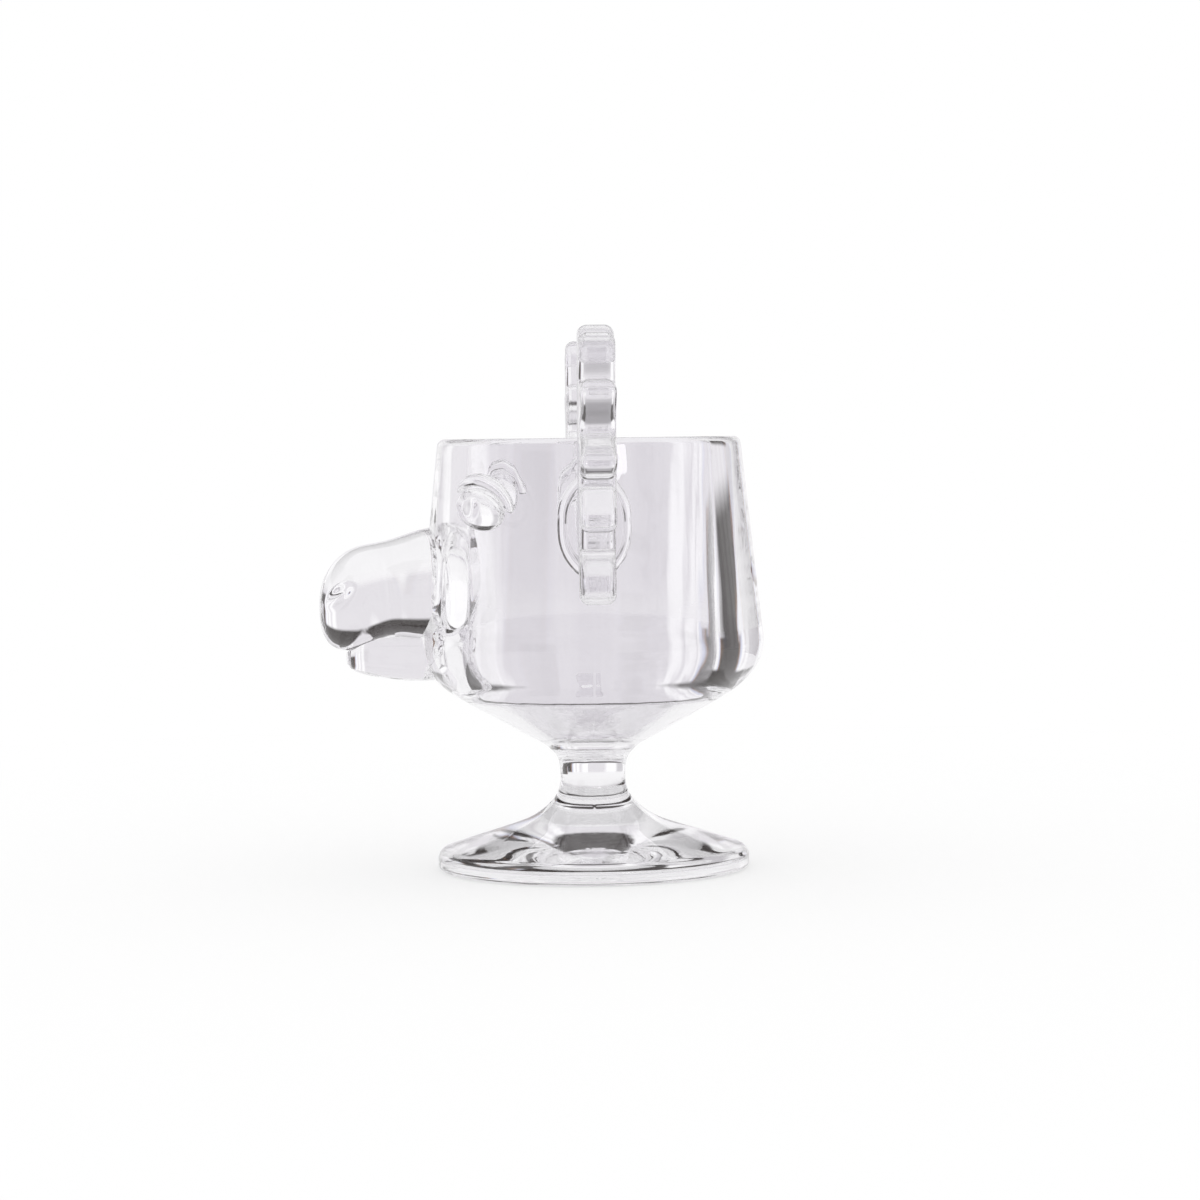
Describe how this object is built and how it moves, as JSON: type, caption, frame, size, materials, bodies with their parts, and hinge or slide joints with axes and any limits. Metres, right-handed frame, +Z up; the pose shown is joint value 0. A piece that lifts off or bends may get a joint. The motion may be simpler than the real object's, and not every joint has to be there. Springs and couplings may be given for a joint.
{
  "type": "footed mug",
  "caption": "Clear-glass footed mug in the form of a moose's head: barrel bowl on a stem and round foot, solid muzzle in front, flat antlers as handles.",
  "frame": {"origin": "centre of the foot's flat underside, on the table", "axes": "+Z up through the stem, -X towards the muzzle, +Y and -Y along the antlers"},
  "size_m": [0.117, 0.1748, 0.141],
  "materials": {
    "clear_glass": "fire-polished clear glass"
  },
  "bodies": {
    "root": {"bowl": "clear_glass", "stem": "clear_glass", "foot": "clear_glass", "antler_pad_left": "clear_glass", "antler_pad_right": "clear_glass", "antler_left": "clear_glass", "antler_right": "clear_glass", "muzzle": "clear_glass", "lower_lip": "clear_glass", "eye_left": "clear_glass", "eye_right": "clear_glass", "eyelid_left": "clear_glass", "eyelid_right": "clear_glass"}
  },
  "joints": []
}
